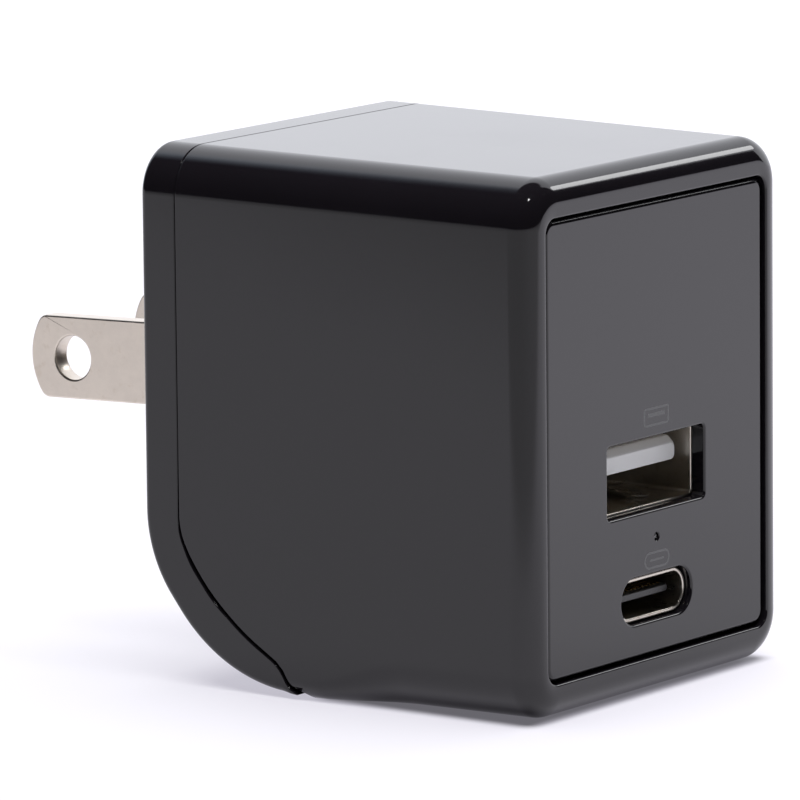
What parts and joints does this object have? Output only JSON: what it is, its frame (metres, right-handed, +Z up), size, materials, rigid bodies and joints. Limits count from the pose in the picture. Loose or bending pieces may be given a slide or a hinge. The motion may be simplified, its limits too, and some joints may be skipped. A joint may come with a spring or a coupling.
{
  "type": "usb wall charger",
  "caption": "Compact black wall charger with a folding two-blade plug, a USB-A port and a USB-C port in a recessed front panel.",
  "frame": {"origin": "on the flat wall side, midway between the two blades at their centre height", "axes": "+Y out of the wall side along the blades, -Y towards the ports, +Z up, X across the body"},
  "size_m": [0.034, 0.0532, 0.0402],
  "materials": {
    "shell_black": "polished black polycarbonate",
    "carrier_black": "fine matt black nylon",
    "blade_nickel": "satin nickel plate over brass",
    "bracket_white": "plain moulded nylon",
    "spring_steel": "plain spring steel",
    "contact_copper": "bare phosphor bronze",
    "wire_black": "soft insulation",
    "wire_white": "soft insulation",
    "board_green": "solder resist over glass laminate",
    "fuse_brown": "moulded sleeve",
    "ferrite_grey": "sintered ferrite",
    "chip_black": "moulded epoxy",
    "capacitor_dark": "aluminium can in a printed sleeve",
    "capacitor_bare": "bare aluminium can",
    "bobbin_brown": "moulded phenolic",
    "winding_copper": "enamelled copper wire",
    "tape_yellow": "polyester tape",
    "capacitor_blue": "dipped coating",
    "sheet_clear": "polyester film",
    "lamp_clear": "clear moulded lens",
    "lamp_yellow": "small lamp body",
    "port_steel": "folded and plated steel",
    "port_white": "moulded white insulator",
    "port_black": "moulded black insulator",
    "contact_gold": "gold flash"
  },
  "bodies": {
    "body": {"main_housing": "shell_black", "front_panel": "shell_black", "rear_cover": "shell_black", "light_pipe": "lamp_clear", "pivot_bracket": "bracket_white", "detent_spring": "spring_steel", "contact_spring_line": "contact_copper", "contact_spring_neutral": "contact_copper", "lead_wire_line": "wire_black", "lead_wire_neutral": "wire_white", "mains_board": "board_green", "fuse": "fuse_brown", "input_choke": "ferrite_grey", "bridge_rectifier": "chip_black", "bulk_capacitor_front": "capacitor_dark", "bulk_capacitor_rear": "capacitor_dark", "transformer_core_upper": "ferrite_grey", "transformer_core_lower": "ferrite_grey", "transformer_bobbin": "bobbin_brown", "transformer_winding": "winding_copper", "transformer_tape": "tape_yellow", "y_capacitor": "capacitor_blue", "controller_chip": "chip_black", "optocoupler": "chip_black", "insulation_sheet": "sheet_clear", "board_link": "chip_black", "output_board": "board_green", "output_capacitor": "capacitor_bare", "filter_capacitor": "capacitor_bare", "sync_rectifier": "chip_black", "protocol_chip": "chip_black", "indicator_led": "lamp_yellow", "usb_a_shell": "port_steel", "usb_a_tongue": "port_white", "usb_a_contacts": "contact_gold", "usb_c_shell": "port_steel", "usb_c_tongue": "port_black", "usb_c_contacts": "contact_gold"},
    "plug": {"prong_carrier": "carrier_black", "blade_line": "blade_nickel", "blade_neutral": "blade_nickel"}
  },
  "joints": [
    {"name": "prong_fold", "type": "hinge", "parent": "body", "child": "plug", "pos_m": [0, -0.0034, 0], "axis": [-1, 0, 0], "range_deg": [-1.6, 88.4]}
  ]
}
